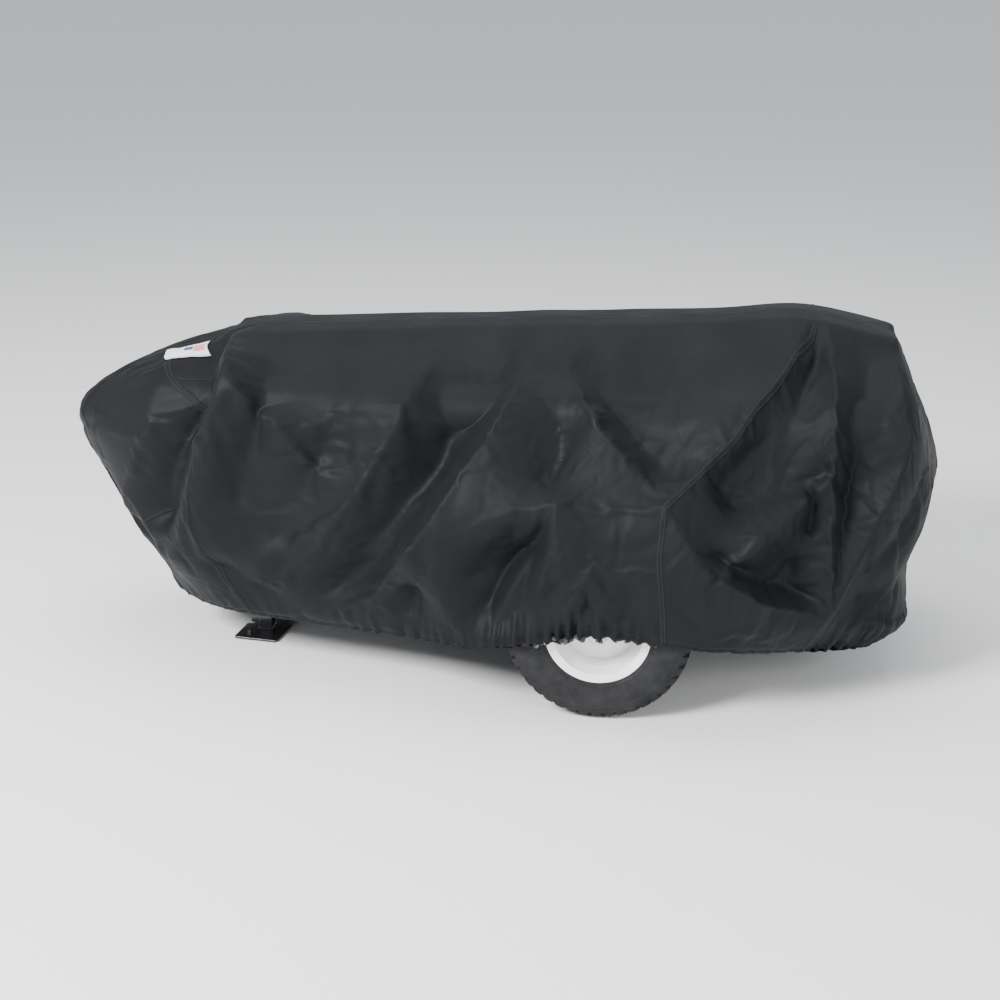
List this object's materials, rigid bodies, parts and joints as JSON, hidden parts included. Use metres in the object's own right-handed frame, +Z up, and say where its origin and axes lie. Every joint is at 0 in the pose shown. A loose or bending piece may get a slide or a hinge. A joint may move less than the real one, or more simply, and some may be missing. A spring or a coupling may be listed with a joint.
{
  "type": "tow behind spreader",
  "caption": "Ground-driven tow-behind salt spreader with an auger-fed hopper, parked on its drop leg under a fitted fabric cover.",
  "frame": {"origin": "on the ground under the middle of the whole machine", "axes": "+Z up, -X along the drawbar towards the tow vehicle, +Y to the machine's right"},
  "size_m": [2.0239, 1.0416, 0.8121],
  "materials": {
    "frame_black": "black powder coat, satin",
    "gloss_black": "black enamel, glossy",
    "rim_white": "white enamel, semi-gloss",
    "hopper_paint": "dark grey powder coat, satin",
    "housing_iron": "painted grey casting",
    "shaft_steel": "turned",
    "gear_steel": "machined and oiled",
    "zinc": "zinc plated",
    "galvanised": "galvanised",
    "stainless": "brushed stainless",
    "tyre": "matt rubber",
    "flap_rubber": "matt",
    "cover_fabric": "coated woven polyester, soft sheen",
    "hem_elastic": "gathered elastic casing",
    "label_white": "woven label"
  },
  "bodies": {
    "frame": {"left_side_rail": "frame_black", "right_side_rail": "frame_black", "front_crossmember": "frame_black", "rear_crossmember": "frame_black", "left_axle_bearing": "housing_iron", "right_axle_bearing": "housing_iron", "front_shaft_bearing": "housing_iron", "coupler_body": "frame_black", "axle_gearbox": "housing_iron", "spinner_gearbox": "housing_iron", "axle_gearbox_strap": "frame_black", "spinner_gearbox_strap": "frame_black", "drive_chain": "gear_steel", "chain_guard": "frame_black", "hopper_trough": "hopper_paint", "hopper_front_wall": "hopper_paint", "hopper_rear_wall": "hopper_paint", "front_cradle": "frame_black", "middle_cradle": "frame_black", "rear_cradle": "frame_black", "ridge_board": "galvanised", "front_bow": "zinc", "middle_bow": "zinc", "rear_bow": "zinc", "discharge_chute": "stainless", "deflector_pin": "frame_black", "stand_clamp": "gloss_black"},
    "drive_axle": {"axle_shaft": "shaft_steel", "axle_bevel_gear": "gear_steel", "left_tyre": "tyre", "left_rim": "rim_white", "left_hub": "zinc"},
    "right_wheel": {"right_tyre": "tyre", "right_rim": "rim_white", "right_hub": "zinc"},
    "front_driveshaft": {"front_shaft": "shaft_steel", "front_pinion": "gear_steel", "lower_sprocket": "gear_steel"},
    "rear_driveshaft": {"rear_shaft": "shaft_steel", "rear_pinion": "gear_steel", "spinner_drive_gear": "gear_steel"},
    "spinner": {"spinner_shaft": "shaft_steel", "spinner_pinion": "gear_steel", "spinner_disc": "stainless"},
    "auger": {"auger_shaft": "shaft_steel", "auger_flight": "shaft_steel", "upper_sprocket": "gear_steel"},
    "gate": {"feed_gate": "stainless"},
    "deflector": {"spinner_deflector": "flap_rubber"},
    "latch": {"coupler_latch": "zinc"},
    "stand": {"stand_leg": "gloss_black", "stand_foot": "gloss_black"},
    "clamp_screw": {"stand_clamp_screw": "zinc"},
    "cover": {"cover_front_panel": "cover_fabric", "cover_main_panel": "cover_fabric", "cover_rear_panel": "cover_fabric", "cover_elastic_hem": "hem_elastic", "cover_label": "label_white"}
  },
  "joints": [
    {"name": "axle_spin", "type": "hinge", "parent": "frame", "child": "drive_axle", "pos_m": [0.27, 0, 0.203], "axis": [0, 1, 0], "continuous": true},
    {"name": "right_wheel_spin", "type": "hinge", "parent": "frame", "child": "right_wheel", "pos_m": [0.27, 0, 0.203], "axis": [0, 1, 0], "continuous": true},
    {"name": "front_shaft_spin", "type": "hinge", "parent": "frame", "child": "front_driveshaft", "pos_m": [0.27, 0, 0.203], "axis": [1, 0, 0], "continuous": true},
    {"name": "rear_shaft_spin", "type": "hinge", "parent": "frame", "child": "rear_driveshaft", "pos_m": [0.27, 0, 0.203], "axis": [1, 0, 0], "continuous": true},
    {"name": "spinner_spin", "type": "hinge", "parent": "frame", "child": "spinner", "pos_m": [0.72, 0, 0.203], "axis": [0, 0, 1], "continuous": true},
    {"name": "auger_spin", "type": "hinge", "parent": "frame", "child": "auger", "pos_m": [0, 0, 0.395], "axis": [1, 0, 0], "continuous": true},
    {"name": "gate_slide", "type": "slide", "parent": "frame", "child": "gate", "axis": [0, -1, 0], "range_m": [0, 0.08]},
    {"name": "deflector_fold", "type": "hinge", "parent": "frame", "child": "deflector", "pos_m": [0.869, 0, 0.36], "axis": [0, 1, 0], "range_deg": [0, 125]},
    {"name": "latch_lift", "type": "hinge", "parent": "frame", "child": "latch", "pos_m": [-0.825, 0, 0.5074], "axis": [0, 1, 0], "range_deg": [0, 45]},
    {"name": "stand_slide", "type": "slide", "parent": "frame", "child": "stand", "axis": [0, 0, 1], "range_m": [0, 0.15]},
    {"name": "clamp_screw_turn", "type": "hinge", "parent": "frame", "child": "clamp_screw", "pos_m": [-0.5818, -0.081, 0.315], "axis": [1, 0, 0], "range_deg": [-180, 180]},
    {"name": "cover_lift", "type": "slide", "parent": "frame", "child": "cover", "axis": [0, 0, 1], "range_m": [0, 0.9], "deforming": ["cover_front_panel", "cover_main_panel", "cover_rear_panel", "cover_elastic_hem", "cover_label"]}
  ],
  "couplings": [
    {"joint": "front_shaft_spin", "follows": "axle_spin", "ratio": 2},
    {"joint": "rear_shaft_spin", "follows": "axle_spin", "ratio": -2},
    {"joint": "spinner_spin", "follows": "axle_spin", "ratio": -4},
    {"joint": "auger_spin", "follows": "axle_spin", "ratio": 1.3333}
  ]
}
